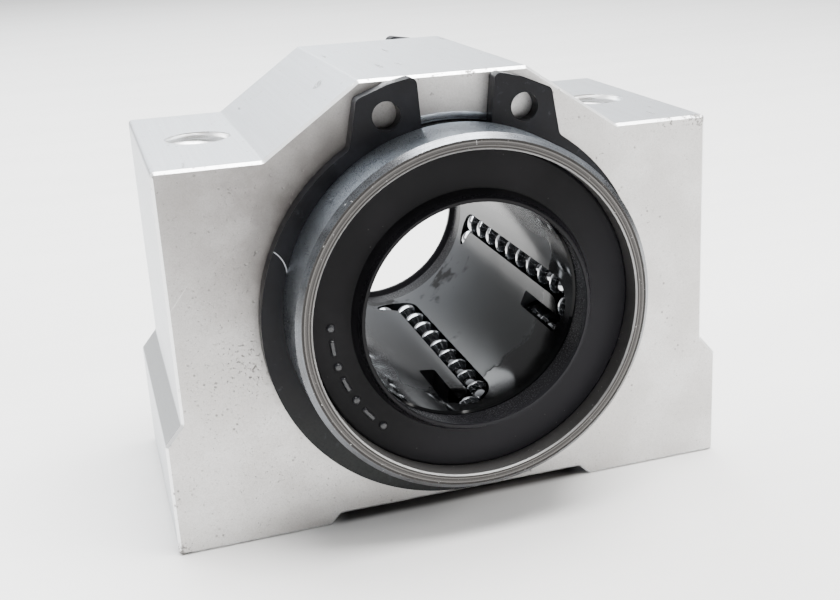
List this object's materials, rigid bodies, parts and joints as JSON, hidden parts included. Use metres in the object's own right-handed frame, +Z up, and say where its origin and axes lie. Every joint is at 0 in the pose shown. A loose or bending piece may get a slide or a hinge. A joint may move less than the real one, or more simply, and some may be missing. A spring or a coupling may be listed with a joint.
{
  "type": "linear ball bushing",
  "caption": "Sealed linear ball bushing held by external circlips in a stepped aluminium pillow block with two tapped mounting holes.",
  "frame": {"origin": "centre of the shaft bore at mid length", "axes": "+Y along the shaft bore, towards the rear of the block; +Z up, away from the mounting base; +X across the block"},
  "size_m": [0.054, 0.042, 0.0412],
  "materials": {
    "block_aluminium": "satin extruded, sawn ends",
    "sleeve_steel": "ground bearing steel",
    "retainer_resin": "moulded resin with an oil film",
    "ball_steel": "polished bearing balls",
    "seal_rubber": "matte moulded rubber",
    "insert_steel": "pressed sheet steel",
    "circlip_steel": "black oxide spring steel"
  },
  "bodies": {
    "block_and_bushing": {"housing": "block_aluminium", "outer_sleeve": "sleeve_steel", "ball_retainer": "retainer_resin", "seal_front": "seal_rubber", "seal_rear": "seal_rubber", "seal_insert_front": "insert_steel", "seal_insert_rear": "insert_steel", "side_ring_front": "insert_steel", "side_ring_rear": "insert_steel", "circlip_front": "circlip_steel", "circlip_rear": "circlip_steel"},
    "loaded_row_1": {"loaded_balls_1": "ball_steel"},
    "return_row_1": {"return_balls_1": "ball_steel"},
    "front_turn_1": {"front_turn_balls_1": "ball_steel"},
    "rear_turn_1": {"rear_turn_balls_1": "ball_steel"},
    "loaded_row_2": {"loaded_balls_2": "ball_steel"},
    "return_row_2": {"return_balls_2": "ball_steel"},
    "front_turn_2": {"front_turn_balls_2": "ball_steel"},
    "rear_turn_2": {"rear_turn_balls_2": "ball_steel"},
    "loaded_row_3": {"loaded_balls_3": "ball_steel"},
    "return_row_3": {"return_balls_3": "ball_steel"},
    "front_turn_3": {"front_turn_balls_3": "ball_steel"},
    "rear_turn_3": {"rear_turn_balls_3": "ball_steel"},
    "loaded_row_4": {"loaded_balls_4": "ball_steel"},
    "return_row_4": {"return_balls_4": "ball_steel"},
    "front_turn_4": {"front_turn_balls_4": "ball_steel"},
    "rear_turn_4": {"rear_turn_balls_4": "ball_steel"},
    "loaded_row_5": {"loaded_balls_5": "ball_steel"},
    "return_row_5": {"return_balls_5": "ball_steel"},
    "front_turn_5": {"front_turn_balls_5": "ball_steel"},
    "rear_turn_5": {"rear_turn_balls_5": "ball_steel"}
  },
  "joints": [
    {"name": "loaded_row_run_1", "type": "slide", "parent": "block_and_bushing", "child": "loaded_row_1", "axis": [0, 1, 0], "range_m": [0, 0.0024]},
    {"name": "return_row_run_1", "type": "slide", "parent": "block_and_bushing", "child": "return_row_1", "axis": [0, 1, 0], "range_m": [-0.00241, 0]},
    {"name": "rear_turn_run_1", "type": "hinge", "parent": "block_and_bushing", "child": "rear_turn_1", "pos_m": [-0.00015, 0.01195, -0.0118], "axis": [-0.21, 0, 0.9777], "range_deg": [0, 52.95]},
    {"name": "front_turn_run_1", "type": "hinge", "parent": "block_and_bushing", "child": "front_turn_1", "pos_m": [-0.00015, -0.01195, -0.0118], "axis": [-0.21, 0, 0.9777], "range_deg": [0, 52.95]},
    {"name": "loaded_row_run_2", "type": "slide", "parent": "block_and_bushing", "child": "loaded_row_2", "axis": [0, 1, 0], "range_m": [0, 0.0024]},
    {"name": "return_row_run_2", "type": "slide", "parent": "block_and_bushing", "child": "return_row_2", "axis": [0, 1, 0], "range_m": [-0.00241, 0]},
    {"name": "rear_turn_run_2", "type": "hinge", "parent": "block_and_bushing", "child": "rear_turn_2", "pos_m": [0.01118, 0.01195, -0.00379], "axis": [-0.9947, 0, 0.1025], "range_deg": [0, 52.95]},
    {"name": "front_turn_run_2", "type": "hinge", "parent": "block_and_bushing", "child": "front_turn_2", "pos_m": [0.01118, -0.01195, -0.00379], "axis": [-0.9947, 0, 0.1025], "range_deg": [0, 52.95]},
    {"name": "loaded_row_run_3", "type": "slide", "parent": "block_and_bushing", "child": "loaded_row_3", "axis": [0, 1, 0], "range_m": [0, 0.0024]},
    {"name": "return_row_run_3", "type": "slide", "parent": "block_and_bushing", "child": "return_row_3", "axis": [0, 1, 0], "range_m": [-0.00241, 0]},
    {"name": "rear_turn_run_3", "type": "hinge", "parent": "block_and_bushing", "child": "rear_turn_3", "pos_m": [0.00706, 0.01195, 0.00946], "axis": [-0.4048, 0, -0.9144], "range_deg": [0, 52.95]},
    {"name": "front_turn_run_3", "type": "hinge", "parent": "block_and_bushing", "child": "front_turn_3", "pos_m": [0.00706, -0.01195, 0.00946], "axis": [-0.4048, 0, -0.9144], "range_deg": [0, 52.95]},
    {"name": "loaded_row_run_4", "type": "slide", "parent": "block_and_bushing", "child": "loaded_row_4", "axis": [0, 1, 0], "range_m": [0, 0.0024]},
    {"name": "return_row_run_4", "type": "slide", "parent": "block_and_bushing", "child": "return_row_4", "axis": [0, 1, 0], "range_m": [-0.00241, 0]},
    {"name": "rear_turn_run_4", "type": "hinge", "parent": "block_and_bushing", "child": "rear_turn_4", "pos_m": [-0.00682, 0.01195, 0.00964], "axis": [0.7445, 0, -0.6676], "range_deg": [0, 52.95]},
    {"name": "front_turn_run_4", "type": "hinge", "parent": "block_and_bushing", "child": "front_turn_4", "pos_m": [-0.00682, -0.01195, 0.00964], "axis": [0.7445, 0, -0.6676], "range_deg": [0, 52.95]},
    {"name": "loaded_row_run_5", "type": "slide", "parent": "block_and_bushing", "child": "loaded_row_5", "axis": [0, 1, 0], "range_m": [0, 0.0024]},
    {"name": "return_row_run_5", "type": "slide", "parent": "block_and_bushing", "child": "return_row_5", "axis": [0, 1, 0], "range_m": [-0.00241, 0]},
    {"name": "rear_turn_run_5", "type": "hinge", "parent": "block_and_bushing", "child": "rear_turn_5", "pos_m": [-0.01127, 0.01195, -0.00351], "axis": [0.865, 0, 0.5018], "range_deg": [0, 52.95]},
    {"name": "front_turn_run_5", "type": "hinge", "parent": "block_and_bushing", "child": "front_turn_5", "pos_m": [-0.01127, -0.01195, -0.00351], "axis": [0.865, 0, 0.5018], "range_deg": [0, 52.95]}
  ],
  "couplings": [
    {"joint": "return_row_run_1", "follows": "loaded_row_run_1", "ratio": -1},
    {"joint": "rear_turn_run_1", "follows": "loaded_row_run_1", "rad_per_m": 384.62},
    {"joint": "front_turn_run_1", "follows": "loaded_row_run_1", "rad_per_m": 384.62},
    {"joint": "return_row_run_2", "follows": "loaded_row_run_2", "ratio": -1},
    {"joint": "rear_turn_run_2", "follows": "loaded_row_run_2", "rad_per_m": 384.62},
    {"joint": "front_turn_run_2", "follows": "loaded_row_run_2", "rad_per_m": 384.62},
    {"joint": "return_row_run_3", "follows": "loaded_row_run_3", "ratio": -1},
    {"joint": "rear_turn_run_3", "follows": "loaded_row_run_3", "rad_per_m": 384.62},
    {"joint": "front_turn_run_3", "follows": "loaded_row_run_3", "rad_per_m": 384.62},
    {"joint": "return_row_run_4", "follows": "loaded_row_run_4", "ratio": -1},
    {"joint": "rear_turn_run_4", "follows": "loaded_row_run_4", "rad_per_m": 384.62},
    {"joint": "front_turn_run_4", "follows": "loaded_row_run_4", "rad_per_m": 384.62},
    {"joint": "return_row_run_5", "follows": "loaded_row_run_5", "ratio": -1},
    {"joint": "rear_turn_run_5", "follows": "loaded_row_run_5", "rad_per_m": 384.62},
    {"joint": "front_turn_run_5", "follows": "loaded_row_run_5", "rad_per_m": 384.62}
  ]
}
